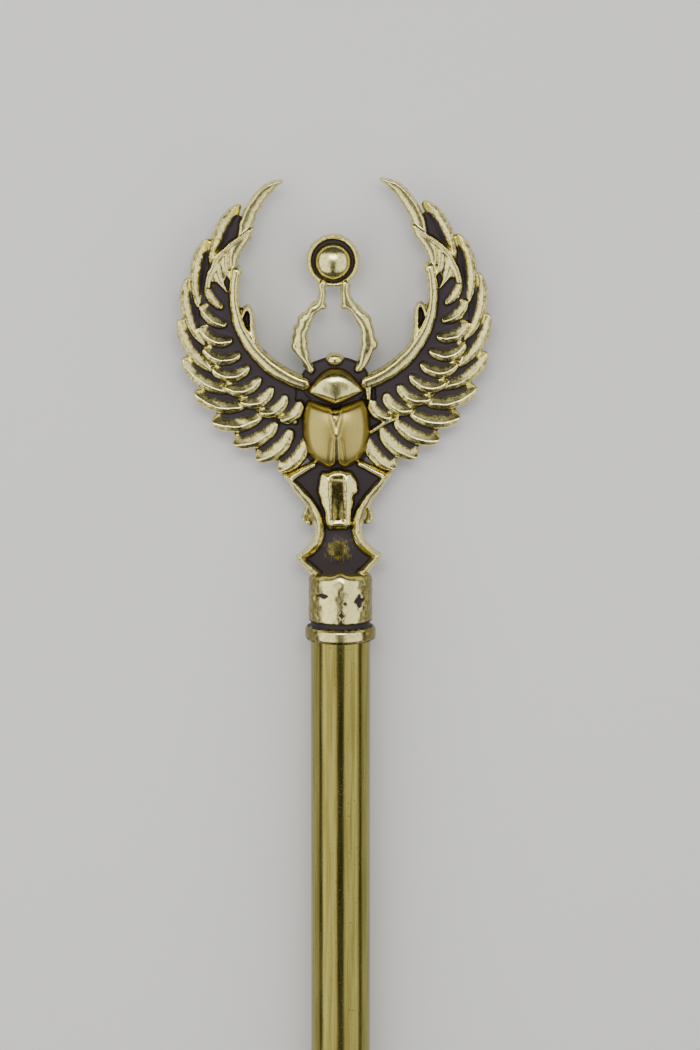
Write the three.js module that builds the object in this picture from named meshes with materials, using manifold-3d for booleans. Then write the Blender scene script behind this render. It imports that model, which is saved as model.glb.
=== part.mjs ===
// A winged-scarab sceptre, lying on its back: a cast figure with its collar, a metal tube, and an end cap.
// Units are millimetres. +X runs across the wings, +Y along the shaft towards the head, and +Z is up, out of
// the figure's front. The origin is in the middle of the small flat under the collar's ring, on the surface
// that the sceptre lies on. The pieces are drawn from the ring's lower edge and the tube's axis, and moved
// at the end.

import * as THREE from "three";
import { mergeVertices } from "three/addons/utils/BufferGeometryUtils.js";
import Module from "manifold-3d";

const wasm = await Module();
wasm.setup();

// Shaft
const TUBE_DIAMETER = 20;
const TUBE_WALL = 1;
const TUBE_SHOWN = 350; // length of tube that shows between the collar and the end cap
const FIT_GAP = 0.3; // between pieces that seat on each other
const ROUND_STEPS = 36; // facets round the turned pieces
const FACET_TOLERANCE = 0.05; // slivers smaller than this are left out of the figure

// Collar: a ring that the tube's end sits in, a cup above it, and a spigot inside the tube
const RING_WALL = 1.55;
const RING_HEIGHT = 5;
const RING_EDGE = 0.7; // rounding of the ring's edges
const SOCKET_DEPTH = 4;
const SPIGOT_LENGTH = 14;
const SPIGOT_CHAMFER = 0.8;
const CUP_STEP = 0.7; // how far the cup stands proud of the tube
const CUP_TOP_Y = 22.8;
const CUP_SHOULDER = 2.8; // rounding of the cup's upper edge
const GROOVE_DEPTH = 0.6; // between ring and cup
const GROOVE_WIDTH = 1.2;

// End cap: a ring like the collar's, and a low dome with a flat foot
const CAP_RING_HEIGHT = 6;
const CAP_DOME_HEIGHT = 7;
const CAP_FOOT_DIAMETER = 12;
const CAP_SPIGOT_LENGTH = 12;

// The small flats under the ring and the cap that keep the sceptre from rolling
const REST_FLAT_DEPTH = 0.4;

// Levels of the figure, measured from the shaft's middle plane
const BACK = -2.6;
const PLATE_LEVEL = -0.6; // ground of the long feathers
const COVERT_LEVEL = 0.5; // ground of the short feathers, one step higher
const FEATHER_RISE = 1.7;
const COVERT_RISE = 1.6;
const RIB_RISE = 1.3;

// Wings, given for the right side and mirrored to the left
const FIGURE_LEAN_DEG = 1.1; // the figure stands this much off the tube's line, to the left
const WING_CENTRE_Y = 104.8; // the long feathers' tips lie on a circle about this point
const WING_RADIUS = 51.3;
const TIP_NOTCH = 2.4; // how deep the notches between the tips are
const LONG_FEATHERS = 11;
const FIRST_TIP_DEG = 17.5; // from straight up, clockwise
const PLATE_FROM_DEG = 39;
const LAST_TIP_DEG = 157;
const LEDGE_CENTRE_X = 11; // the step between the two rows of feathers is round this point
const LEDGE_CENTRE_Y = 107.5;
const LEDGE_RADIUS = 33.7;
const FIRST_ROOT_DEG = 33;
const LAST_ROOT_DEG = 181;
const LONG_WIDTH = 5.6;
const LONG_BOW = 0.13; // sideways bow of a feather, as a share of its length
const LONG_ROOT_INSET = 2.2; // how far the long feathers' roots run in under the step
const LONG_ROOT_DROOP = 6.5; // how far the lowest root hangs below the step's circle
const BAY_CENTRE_Y = 118.5; // the round bay between the wings
const ARM_RADIUS = 33.6; // middle line of the bar along the wing's inner edge
const ARM_FROM_DEG = 82;
const ARM_TO_DEG = 162;
const ARM_WIDTH = 4.4;
const ARM_EDGE = 0.8; // level of the bar's sides
const ARM_CREST = 3.2;
const SHORT_FEATHERS = 9;
const SHORT_TIP_FROM_DEG = 67.4;
const SHORT_TIP_TO_DEG = 166.5;
const SHORT_ROOT_RADIUS = 37.8; // about the bay's centre
const SHORT_ROOT_FROM_DEG = 100.5;
const SHORT_ROOT_TO_DEG = 162;
const SHORT_WIDTH = 4.6;
const SHORT_BOW = 0.2;
const RIM_FROM_DEG = 27; // the raised rim round the uppermost short feathers
const RIM_WIDTH = 3;
const RIM_CREST = 2.4;
const RIB_TIP_DEGS = [45, 55]; // ribs inside that rim
const RIB_ROOT_DEGS = [84.5, 91];
const RIB_ROOT_RADIUS = 34.8;
const RIB_WIDTH = 2.8;
const RIB_BOW = 0.06;
const KNUCKLE_RADIUS = 1.8; // where the bar meets the uppermost short feathers
const LOOP_LENGTH = 9.4; // the small loop that stands on the bar's inner side
const LOOP_WIDTH = 3.4;
const LOOP_LEAN = 1.3; // outwards, over its length
const LOOP_DEG = 118; // where it springs from the bar
const LOOP_BAR = 1.3;
const LOOP_CREST = 1.9;
const LOOP_BACK_INSET = 0.8; // the loop is thinner than the wing

// Scarab
const BODY_CENTRE_Y = 76; // the oval plate behind the scarab
const BODY_HALF_WIDTH = 15;
const BODY_HALF_LENGTH = 19.5;
const BELLY_DEPTH = 1; // how far the scarab stands out of the plain back
const WING_CASE_Y = 70.3;
const WING_CASE_HALF_WIDTH = 11.2;
const WING_CASE_HALF_LENGTH = 12.2;
const WING_CASE_EDGE = 1.4; // level of the wing cases' outline
const WING_CASE_CREST = 6.6;
const SEAM_DEPTH = 3.4; // between the wing cases
const SEAM_FOOT_HALF_WIDTH = 2.4;
const SEAM_TOP_HALF_WIDTH = 1.1;
const NOTCH_DEPTH = 2.6; // of the small V at the seam's top
const NOTCH_HALF_WIDTH = 5.5;
const SHIELD_Y = 86.3; // the shield over the scarab's shoulders
const SHIELD_HALF_WIDTH = 9.4;
const SHIELD_HALF_LENGTH = 5.2;
const SHIELD_EDGE = 1.6;
const SHIELD_CREST = 5.6;
const HEAD_Y = 94.6;
const HEAD_RADIUS = 3.3;
const HEAD_EDGE = 0.8;
const HEAD_CREST = 3.6;

// Sun disc on the raised forelegs
const DISC_Y = 127;
const DISC_RADIUS = 8.9;
const DISC_RIM = 1.6;
const DISC_THICKNESS = 3.6;
const DISC_FIELD_DEPTH = 1.3; // of the field between rim and dome
const DISC_DOME_RADIUS = 5.8;
const DISC_DOME_CREST = 4.2;
const LEG_WIDTH = 4.1;
const LEG_THICKNESS = 3.8;
const LEG_KNOB_RADIUS = 2.3;
const LEG_KNOB_OFFSET = 0.8; // outwards from the leg's middle line

// Neck between the wings and the collar
const NECK_TOP_Y = 55.5;
const NECK_CORNER_Y = 28;
const NECK_LEVEL = -0.4;
const SPUR_TOP_X = 7.6; // the thin bar from the frame's top to the scarab
const SPUR_TOP_Y = 60;
const SPUR_WIDTH = 2;
const SPUR_CREST = 2.4;
const FRAME_WIDTH = 3.2;
const FRAME_EDGE = 0.6;
const FRAME_CREST = 3.2;
const THORN_HALF_LENGTH = 3; // the small thorn outside each side of the frame
const THORN_REACH = 4.1;
const THORN_LEVEL = 1.4;
const NECK_FOOT_HALF_WIDTH = 7.4;
const TAIL_Y = 47.6;
const TAIL_HALF_LENGTH = 9.9;
const TAIL_HALF_WIDTH = 6.9;
const TAIL_EDGE = 1.2;
const TAIL_CREST = 3.4;
const TAIL_CHANNEL_HALF_WIDTH = 1.9;
const TAIL_CHANNEL_DEPTH = 0.9;
const KNOB_Y = 30.5;
const KNOB_HALF_WIDTH = 4.4;
const KNOB_HALF_LENGTH = 3.8;
const KNOB_CREST = 1.4;

const tubeRadius = TUBE_DIAMETER / 2;
const socketRadius = tubeRadius + FIT_GAP;
const ringRadius = socketRadius + RING_WALL;
const cupRadius = tubeRadius + CUP_STEP;
const spigotRadius = tubeRadius - TUBE_WALL - FIT_GAP;
const axisHeight = ringRadius - REST_FLAT_DEPTH;
const capTopY = -TUBE_SHOWN; // upper edge of the cap's ring, which hides the tube's end

const point = (x, y) => new THREE.Vector2(x, y);

// The point at an angle clockwise from straight up, on a circle.
function onCircle(centreX, centreY, radius, degrees) {
  const turn = THREE.MathUtils.degToRad(degrees);
  return point(centreX + radius * Math.sin(turn), centreY + radius * Math.cos(turn));
}

// Points along an arc, both ends included.
function arcPoints(centreX, centreY, radius, fromDeg, toDeg, steps) {
  return Array.from({ length: steps + 1 }, (_, i) =>
    onCircle(centreX, centreY, radius, THREE.MathUtils.lerp(fromDeg, toDeg, i / steps)));
}

// A closed geometry as a solid that can be joined and cut.
function solidOf(geometry) {
  const bare = geometry.clone();
  bare.deleteAttribute("normal");
  bare.deleteAttribute("uv");
  const merged = mergeVertices(bare, 1e-4);
  return new wasm.Manifold(new wasm.Mesh({
    numProp: 3,
    vertProperties: new Float32Array(merged.attributes.position.array),
    triVerts: new Uint32Array(merged.index.array),
  }));
}

const join = (geometries) => geometries.map(solidOf).reduce((whole, next) => whole.add(next));

function geometryOf(solid) {
  const mesh = solid.getMesh();
  const geometry = new THREE.BufferGeometry();
  geometry.setAttribute("position", new THREE.BufferAttribute(new Float32Array(mesh.vertProperties), 3));
  geometry.setIndex(new THREE.BufferAttribute(new Uint32Array(mesh.triVerts), 1));
  geometry.computeVertexNormals();
  return geometry;
}

// A closed skin over rings of points, one ring after the other. Each ring runs anticlockwise as seen from
// the next one, and a flat fan closes each end.
function loft(rings) {
  const count = rings[0].length;
  const positions = rings.flat().flatMap((p) => [p.x, p.y, p.z]);
  const faces = [];
  for (let ring = 0; ring + 1 < rings.length; ring++) {
    for (let i = 0; i < count; i++) {
      const a = ring * count + i;
      const b = ring * count + ((i + 1) % count);
      faces.push(a, b, a + count, b, b + count, a + count);
    }
  }
  const last = (rings.length - 1) * count;
  for (let i = 1; i + 1 < count; i++) {
    faces.push(0, i + 1, i, last, last + i, last + i + 1);
  }
  const geometry = new THREE.BufferGeometry();
  geometry.setAttribute("position", new THREE.Float32BufferAttribute(positions, 3));
  geometry.setIndex(faces);
  return geometry;
}

// A bar of varying width along a curve in the plane. The section is a list of [across, level]: across is a
// share of the half width, positive on the right as one looks along the curve, and level is its height.
// The section runs anticlockwise as one looks along the curve. levelAt and widthAt vary them along the way.
function bar(curve, steps, halfWidth, section, widthAt = () => 1, levelAt = (level) => level) {
  const rings = [];
  for (let i = 0; i <= steps; i++) {
    const t = i / steps;
    const middle = curve.getPoint(t);
    const along = curve.getTangent(t);
    rings.push(section.map(([across, level]) => {
      const reach = across * halfWidth * widthAt(t);
      return new THREE.Vector3(middle.x + along.y * reach, middle.y - along.x * reach, levelAt(level, t));
    }).reverse());
  }
  return loft(rings);
}

// One feather: a bowed blade with its crest near the right-hand edge and a long slope on the left.
function feather(root, tip, width, bow, ground, rise, steps) {
  const along = tip.clone().sub(root);
  const aside = point(along.y, -along.x).multiplyScalar(2 * bow);
  const middle = root.clone().add(tip).multiplyScalar(0.5).add(aside);
  const curve = new THREE.QuadraticBezierCurve(root, middle, tip);
  const section = [[-1, BACK], [1, BACK], [1, 0.15], [0.6, 1], [-0.25, 0.5], [-1, 0]];
  const fullness = (t) => Math.max(0.12, Math.pow(4 * t * (1 - t), 0.55) * (0.82 + 0.3 * t));
  const swell = (t) => 0.35 + 0.65 * Math.sin(Math.PI * Math.min(1, 0.12 + 0.78 * t));
  const level = (value, t) => (value === BACK ? BACK : ground + value * rise * swell(t));
  return bar(curve, steps, width / 2, section, fullness, level);
}

// A slab between two levels with the given outline.
function slab(outline, bottom, top) {
  const shape = new THREE.Shape(outline);
  return new THREE.ExtrudeGeometry(shape, { depth: top - bottom, bevelEnabled: false, steps: 1 })
    .translate(0, 0, bottom);
}

// A cushion-like mound over an outline: rings drawn in towards the centre while they rise to the crest.
function mound(outline, centre, bottom, edge, crest, rings, roundness = 0.5) {
  const layers = [outline.map((p) => new THREE.Vector3(p.x, p.y, bottom))];
  for (let i = 0; i <= rings; i++) {
    const inwards = Math.min(i / rings, 0.94);
    const scale = 1 - inwards;
    const level = edge + (crest - edge) * Math.pow(1 - scale * scale, roundness);
    layers.push(outline.map((p) => new THREE.Vector3(
      centre.x + (p.x - centre.x) * scale, centre.y + (p.y - centre.y) * scale, level)));
  }
  return loft(layers);
}

// An outline that is the same on both sides of the middle line, smoothed through its right-hand points,
// which run from the bottom to the top.
function mirroredOutline(rightPoints, steps) {
  const right = new THREE.SplineCurve(rightPoints).getPoints(steps);
  const left = right.slice().reverse().map((p) => point(-p.x, p.y));
  const joined = [...right, ...left];
  return joined.filter((p, i) => p.distanceTo(joined[(i + 1) % joined.length]) > 0.05);
}

// Long feathers: the tips crowd together towards the bottom of the wing, and so do the roots.
function longFeathers() {
  return Array.from({ length: LONG_FEATHERS }, (_, i) => {
    const share = i / (LONG_FEATHERS - 1);
    const tipShare = share * (4.1 - 1.1 * share) / 3;
    const rootShare = 0.52 * share + 0.48 * (1 - Math.pow(1 - share, 3));
    const tipDeg = THREE.MathUtils.lerp(FIRST_TIP_DEG, LAST_TIP_DEG, tipShare);
    const rootDeg = THREE.MathUtils.lerp(FIRST_ROOT_DEG, LAST_ROOT_DEG, rootShare);
    const rootRadius = LEDGE_RADIUS - LONG_ROOT_INSET + LONG_ROOT_DROOP * Math.pow(share, 5);
    const root = onCircle(LEDGE_CENTRE_X, LEDGE_CENTRE_Y, rootRadius, rootDeg);
    const tip = onCircle(0, WING_CENTRE_Y, WING_RADIUS, tipDeg);
    return feather(root, tip, LONG_WIDTH, LONG_BOW, PLATE_LEVEL, FEATHER_RISE, 6);
  });
}

// Short feathers, evenly spaced between the bar and the step.
function shortFeathers() {
  return Array.from({ length: SHORT_FEATHERS }, (_, i) => {
    const share = i / (SHORT_FEATHERS - 1);
    const tipDeg = THREE.MathUtils.lerp(SHORT_TIP_FROM_DEG, SHORT_TIP_TO_DEG, share);
    const rootDeg = THREE.MathUtils.lerp(SHORT_ROOT_FROM_DEG, SHORT_ROOT_TO_DEG, share);
    const root = onCircle(0, BAY_CENTRE_Y, SHORT_ROOT_RADIUS - 1, rootDeg);
    const tip = onCircle(LEDGE_CENTRE_X, LEDGE_CENTRE_Y, LEDGE_RADIUS + 0.6, tipDeg);
    return feather(root, tip, SHORT_WIDTH, SHORT_BOW, COVERT_LEVEL, COVERT_RISE, 4);
  });
}

// Ribs of the uppermost short feathers, which lie nearly along the wing.
function ribs() {
  return RIB_TIP_DEGS.map((tipDeg, i) => {
    const root = onCircle(0, BAY_CENTRE_Y, RIB_ROOT_RADIUS, RIB_ROOT_DEGS[i]);
    const tip = onCircle(LEDGE_CENTRE_X, LEDGE_CENTRE_Y, LEDGE_RADIUS - RIM_WIDTH / 2, tipDeg);
    return feather(root, tip, RIB_WIDTH, RIB_BOW, COVERT_LEVEL, RIB_RISE, 3);
  });
}

// A bar's section: a ridge on a block that reaches down to the given level.
function ridge(bottom, edge, crest) {
  return [[-1, bottom], [1, bottom], [1, edge], [0.35, crest], [-0.35, crest], [-1, edge]];
}

// The wing's own pieces apart from its feathers: the two plates, the bar, the rim, the knuckle and the loop.
function wingBase() {
  const bayRadius = ARM_RADIUS - ARM_WIDTH / 4;
  const bay = slab(arcPoints(0, BAY_CENTRE_Y, bayRadius, 360, 10, 35), BACK - 1, ARM_CREST);
  const longReach = WING_RADIUS - TIP_NOTCH;
  const plate = [
    point(0, WING_CENTRE_Y),
    ...arcPoints(0, WING_CENTRE_Y, longReach, LAST_TIP_DEG + 4, PLATE_FROM_DEG, 28),
  ];
  const covertPlate = [
    point(LEDGE_CENTRE_X, LEDGE_CENTRE_Y),
    ...arcPoints(LEDGE_CENTRE_X, LEDGE_CENTRE_Y, LEDGE_RADIUS, SHORT_TIP_TO_DEG + 6, RIM_FROM_DEG, 24),
  ];
  const plates = [slab(plate, BACK, PLATE_LEVEL), slab(covertPlate, BACK, COVERT_LEVEL)]
    .map((sector) => geometryOf(solidOf(sector).subtract(solidOf(bay))));
  const armCurve = new THREE.CatmullRomCurve3(
    arcPoints(0, BAY_CENTRE_Y, ARM_RADIUS, ARM_FROM_DEG, ARM_TO_DEG, 12)
      .map((p) => new THREE.Vector3(p.x, p.y, 0)));
  const armFullness = (t) => 0.8 + 0.3 * Math.sin(Math.PI * t);
  const arm = bar(armCurve, 12, ARM_WIDTH / 2, ridge(BACK, ARM_EDGE, ARM_CREST), armFullness);
  const rimRadius = LEDGE_RADIUS - RIM_WIDTH / 4;
  const rimCurve = new THREE.CatmullRomCurve3(
    arcPoints(LEDGE_CENTRE_X, LEDGE_CENTRE_Y, rimRadius, RIM_FROM_DEG, SHORT_TIP_FROM_DEG + 4, 8)
      .map((p) => new THREE.Vector3(p.x, p.y, 0)));
  const rim = bar(rimCurve, 8, RIM_WIDTH / 2, ridge(BACK, COVERT_LEVEL, RIM_CREST));
  const knuckleAt = onCircle(0, BAY_CENTRE_Y, ARM_RADIUS - 0.6, ARM_FROM_DEG);
  const knuckle = new THREE.SphereGeometry(KNUCKLE_RADIUS, 8, 6)
    .translate(knuckleAt.x, knuckleAt.y, ARM_CREST - KNUCKLE_RADIUS);
  const loopRadius = ARM_RADIUS - ARM_WIDTH / 2 - LOOP_WIDTH / 2 + LOOP_BAR;
  const loopFoot = onCircle(0, BAY_CENTRE_Y, loopRadius, LOOP_DEG);
  const loopCurve = new THREE.CatmullRomCurve3([
    [0.5, -0.15], [0.52, 0.35], [0.4, 0.86], [0, 1], [-0.4, 0.86], [-0.45, 0.35], [-0.1, -0.25],
  ].map(([across, up]) => new THREE.Vector3(
    loopFoot.x + across * LOOP_WIDTH + up * LOOP_LEAN, loopFoot.y + up * LOOP_LENGTH, 0)));
  const loopBack = BACK + LOOP_BACK_INSET;
  const loop = bar(loopCurve, 10, LOOP_BAR / 2, ridge(loopBack, COVERT_LEVEL, LOOP_CREST));
  const loopOutline = loopCurve.getPoints(12).map((p) => point(p.x, p.y)).reverse();
  return [...plates, arm, rim, knuckle, loop, slab(loopOutline, loopBack, PLATE_LEVEL)];
}

// The scarab and the oval plate behind it. The seam between the wing cases is cut afterwards.
function scarab() {
  const oval = Array.from({ length: 32 }, (_, i) => {
    const turn = (i / 32) * 2 * Math.PI;
    return point(BODY_HALF_WIDTH * Math.cos(turn), BODY_CENTRE_Y + BODY_HALF_LENGTH * Math.sin(turn));
  });
  const wide = WING_CASE_HALF_WIDTH;
  const long = WING_CASE_HALF_LENGTH;
  const cases = mirroredOutline([
    point(0.16 * wide, WING_CASE_Y - long), point(0.5 * wide, WING_CASE_Y - 0.92 * long),
    point(0.88 * wide, WING_CASE_Y - 0.5 * long), point(wide, WING_CASE_Y + 0.1 * long),
    point(0.95 * wide, WING_CASE_Y + 0.55 * long), point(0.74 * wide, WING_CASE_Y + 0.86 * long),
    point(0.3 * wide, WING_CASE_Y + 0.72 * long),
  ], 14);
  const broad = SHIELD_HALF_WIDTH;
  const tall = SHIELD_HALF_LENGTH;
  const shield = mirroredOutline([
    point(0.08 * broad, SHIELD_Y - tall), point(0.5 * broad, SHIELD_Y - 0.7 * tall),
    point(broad, SHIELD_Y - 0.1 * tall), point(0.72 * broad, SHIELD_Y + 0.62 * tall),
    point(0.3 * broad, SHIELD_Y + 0.98 * tall),
  ], 9);
  const head = Array.from({ length: 14 }, (_, i) => onCircle(0, HEAD_Y, HEAD_RADIUS, -i * 360 / 14));
  return [
    slab(oval, BACK, PLATE_LEVEL),
    mound(cases, point(0, WING_CASE_Y), BACK - BELLY_DEPTH, WING_CASE_EDGE, WING_CASE_CREST, 6, 0.55),
    mound(shield, point(0, SHIELD_Y), BACK - BELLY_DEPTH / 2, SHIELD_EDGE, SHIELD_CREST, 4, 0.6),
    mound(head, point(0, HEAD_Y), BACK, HEAD_EDGE, HEAD_CREST, 4),
  ];
}

// A V-shaped groove along the middle line, for the seam between the wing cases and the notch at its top.
function groove(fromY, toY, fromHalf, toHalf, depth) {
  const top = WING_CASE_CREST + 1;
  const ring = (y, half) => [
    new THREE.Vector3(half, y, top),
    new THREE.Vector3(0, y, WING_CASE_CREST - depth),
    new THREE.Vector3(-half, y, top),
  ];
  return loft([ring(fromY, fromHalf), ring(toY, toHalf)]);
}

function seamAndNotch() {
  const low = WING_CASE_Y - WING_CASE_HALF_LENGTH - 1;
  const high = WING_CASE_Y + WING_CASE_HALF_LENGTH;
  return [
    groove(low, WING_CASE_Y, SEAM_FOOT_HALF_WIDTH, SEAM_TOP_HALF_WIDTH, SEAM_DEPTH),
    groove(WING_CASE_Y - 0.1, high, SEAM_TOP_HALF_WIDTH, NOTCH_HALF_WIDTH, NOTCH_DEPTH),
  ];
}

// The sun disc, a dished plate with a dome in it, turned about Z.
function sunDisc() {
  const half = DISC_THICKNESS / 2;
  const field = half - DISC_FIELD_DEPTH;
  const dome = Array.from({ length: 4 }, (_, i) => {
    const turn = (i / 4) * Math.PI / 2;
    return point(DISC_DOME_RADIUS * Math.cos(turn), field + (DISC_DOME_CREST - field) * Math.sin(turn));
  });
  const profile = [
    point(0, -half), point(DISC_RADIUS - DISC_RIM / 2, -half), point(DISC_RADIUS, -half + DISC_RIM / 2),
    point(DISC_RADIUS, half - DISC_RIM * 0.4), point(DISC_RADIUS - DISC_RIM * 0.4, half),
    point(DISC_RADIUS - DISC_RIM * 0.8, half - DISC_RIM * 0.2), point(DISC_RADIUS - DISC_RIM, field),
    ...dome, point(0, DISC_DOME_CREST),
  ];
  return new THREE.LatheGeometry(profile, 28).rotateX(Math.PI / 2).translate(0, DISC_Y, 0);
}

// The raised foreleg that carries the disc, with its two knobs.
function foreleg() {
  const reach = DISC_Y - DISC_RADIUS - HEAD_Y; // from the scarab's head to the disc's lower edge
  const path = [
    [4.2, 1.05], [4.1, 0.8], [6.5, 0.65], [9.4, 0.55], [11.3, 0.4], [11.7, 0.2], [10.4, 0.02], [8.3, -0.12],
  ].map(([x, up]) => point(x, HEAD_Y + up * reach));
  const half = LEG_THICKNESS / 2;
  const section = [[-0.5, -half], [0.5, -half], [1, 0], [0.45, half], [-0.45, half], [-1, 0]];
  const leg = bar(new THREE.SplineCurve(path), 12, LEG_WIDTH / 2, section);
  const knobs = [path[3], path[5]].map((p) =>
    new THREE.SphereGeometry(LEG_KNOB_RADIUS, 7, 5).translate(p.x + LEG_KNOB_OFFSET, p.y, 0));
  return [leg, ...knobs];
}

// The neck: a panel with a ridged frame on each side, the scarab's tail, and a low knob.
function neckFrame() {
  const tall = NECK_TOP_Y - NECK_CORNER_Y;
  const curve = new THREE.SplineCurve([
    [17.2, 1], [12, 0.8], [8.7, 0.62], [6.8, 0.4], [7.2, 0.22], [10, 0.1], [13.4, 0],
  ].map(([x, up]) => point(x, NECK_CORNER_Y + up * tall)));
  const foot = point(NECK_FOOT_HALF_WIDTH, CUP_TOP_Y - 1);
  return { curve, foot };
}

function neckSide() {
  const { curve, foot } = neckFrame();
  const corner = curve.getPoint(1);
  const half = FRAME_WIDTH / 2;
  const frameSection = ridge(BACK, FRAME_EDGE, FRAME_CREST);
  const side = bar(curve, 10, half, frameSection);
  const braceLine = new THREE.LineCurve(point(corner.x + 0.5, corner.y + 0.8), foot);
  const brace = bar(braceLine, 2, half, frameSection);
  const top = curve.getPoint(0);
  const spurLine = new THREE.LineCurve(point(top.x + 0.8, top.y - 0.4), point(SPUR_TOP_X, SPUR_TOP_Y));
  const spur = bar(spurLine, 2, SPUR_WIDTH / 2, ridge(BACK, 0, SPUR_CREST));
  const thornAt = curve.getPoint(0.42);
  const thorn = slab([
    point(thornAt.x, thornAt.y - THORN_HALF_LENGTH),
    point(thornAt.x + THORN_REACH, thornAt.y),
    point(thornAt.x + 1, thornAt.y + THORN_HALF_LENGTH),
  ], BACK + 1, THORN_LEVEL);
  return [side, brace, spur, thorn];
}

function neckPanel() {
  const { curve, foot } = neckFrame();
  const right = [point(SPUR_TOP_X, SPUR_TOP_Y + 1), ...curve.getPoints(12), foot];
  const outline = [...right.map((p) => point(-p.x, p.y)), ...right.reverse()];
  const tail = mirroredOutline([
    point(0.5 * TAIL_HALF_WIDTH, TAIL_Y - TAIL_HALF_LENGTH),
    point(0.6 * TAIL_HALF_WIDTH, TAIL_Y - 0.5 * TAIL_HALF_LENGTH),
    point(TAIL_HALF_WIDTH, TAIL_Y + 0.45 * TAIL_HALF_LENGTH),
    point(0.68 * TAIL_HALF_WIDTH, TAIL_Y + 0.98 * TAIL_HALF_LENGTH),
  ], 6);
  const knob = Array.from({ length: 12 }, (_, i) => {
    const turn = (i / 12) * 2 * Math.PI;
    return point(KNOB_HALF_WIDTH * Math.cos(turn), KNOB_Y + KNOB_HALF_LENGTH * Math.sin(turn));
  });
  return [
    slab(outline, BACK, NECK_LEVEL),
    mound(tail, point(0, TAIL_Y), BACK, TAIL_EDGE, TAIL_CREST, 3),
    mound(knob, point(0, KNOB_Y), BACK, 0, KNOB_CREST, 3),
  ];
}

// The channel down the middle of the tail.
function tailChannel() {
  const length = 1.56 * TAIL_HALF_LENGTH;
  return new THREE.BoxGeometry(2 * TAIL_CHANNEL_HALF_WIDTH, length, 2 * TAIL_CHANNEL_DEPTH)
    .translate(0, TAIL_Y, TAIL_CREST);
}

// The collar, turned about the tube's axis: spigot, ring with its socket, groove and cup.
function collar() {
  const shoulder = Array.from({ length: 5 }, (_, i) => {
    const turn = ((i + 1) / 5) * Math.PI / 2;
    return point(
      cupRadius - CUP_SHOULDER * (1 - Math.cos(turn)), CUP_TOP_Y - CUP_SHOULDER * (1 - Math.sin(turn)));
  });
  const spigotEnd = SOCKET_DEPTH - SPIGOT_LENGTH;
  const profile = [
    point(0, spigotEnd), point(spigotRadius - SPIGOT_CHAMFER, spigotEnd),
    point(spigotRadius, spigotEnd + SPIGOT_CHAMFER), point(spigotRadius, SOCKET_DEPTH),
    point(socketRadius, SOCKET_DEPTH), point(socketRadius, 0),
    point(ringRadius - RING_EDGE, 0), point(ringRadius, RING_EDGE),
    point(ringRadius, RING_HEIGHT - RING_EDGE), point(ringRadius - RING_EDGE, RING_HEIGHT),
    point(cupRadius - GROOVE_DEPTH, RING_HEIGHT + GROOVE_WIDTH * 0.25),
    point(cupRadius - GROOVE_DEPTH, RING_HEIGHT + GROOVE_WIDTH * 0.75),
    point(cupRadius, RING_HEIGHT + GROOVE_WIDTH * 1.5), point(cupRadius, CUP_TOP_Y - CUP_SHOULDER),
    ...shoulder, point(0, CUP_TOP_Y),
  ];
  return new THREE.LatheGeometry(profile, ROUND_STEPS);
}

// A block that takes the small rest flat off anything turned about the tube's axis.
function restCut(fromY, toY) {
  const wide = 4 * ringRadius;
  return solidOf(new THREE.BoxGeometry(wide, toY - fromY, wide)
    .translate(0, (fromY + toY) / 2, -axisHeight - wide / 2));
}

function wingedScarab() {
  const wing = [...wingBase(), ...longFeathers(), ...shortFeathers(), ...ribs()];
  const rightSide = join([...wing, ...foreleg(), ...neckSide()]);
  const middle = join([...scarab(), sunDisc(), ...neckPanel()]);
  const figure = rightSide.add(rightSide.mirror([1, 0, 0])).add(middle);
  const carved = figure.subtract(join([...seamAndNotch(), tailChannel()]));
  const leaning = carved.rotate([0, 0, FIGURE_LEAN_DEG]);
  const whole = leaning.add(solidOf(collar())).subtract(restCut(-1, RING_HEIGHT + 1));
  return whole.asOriginal().simplify(FACET_TOLERANCE);
}

// The tube, a ring section turned about its axis.
function shaftTube() {
  const inner = tubeRadius - TUBE_WALL;
  const top = SOCKET_DEPTH - FIT_GAP;
  const bottom = capTopY - SOCKET_DEPTH + FIT_GAP;
  const profile = [
    point(inner, bottom), point(tubeRadius, bottom), point(tubeRadius, top), point(inner, top),
    point(inner, bottom),
  ];
  return new THREE.LatheGeometry(profile, ROUND_STEPS);
}

// The end cap, turned about the tube's axis: spigot, ring with its socket, and a low dome with a flat foot.
function endCap() {
  const floorY = capTopY - SOCKET_DEPTH;
  const ringFoot = capTopY - CAP_RING_HEIGHT;
  const footRadius = CAP_FOOT_DIAMETER / 2;
  const domeRadius = ringRadius - RING_EDGE;
  const footY = ringFoot - CAP_DOME_HEIGHT;
  const dome = Array.from({ length: 4 }, (_, i) => {
    const turn = (i / 4) * Math.PI / 2;
    const radius = footRadius + (domeRadius - footRadius) * Math.sin(turn);
    return point(radius, footY + CAP_DOME_HEIGHT * (1 - Math.cos(turn)));
  });
  const profile = [
    point(0, footY), ...dome, point(domeRadius, ringFoot), point(ringRadius, ringFoot + RING_EDGE),
    point(ringRadius, capTopY - RING_EDGE), point(ringRadius - RING_EDGE, capTopY),
    point(socketRadius, capTopY), point(socketRadius, floorY), point(spigotRadius, floorY),
    point(spigotRadius, floorY + CAP_SPIGOT_LENGTH - SPIGOT_CHAMFER),
    point(spigotRadius - SPIGOT_CHAMFER, floorY + CAP_SPIGOT_LENGTH), point(0, floorY + CAP_SPIGOT_LENGTH),
  ];
  return solidOf(new THREE.LatheGeometry(profile, ROUND_STEPS)).subtract(restCut(footY - 1, capTopY + 1));
}

const antiqueGold = new THREE.MeshStandardMaterial({ color: 0xbfa860, roughness: 0.35, metalness: 1 });
const satinBrass = new THREE.MeshStandardMaterial({ color: 0xb5a25a, roughness: 0.28, metalness: 1 });

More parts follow.
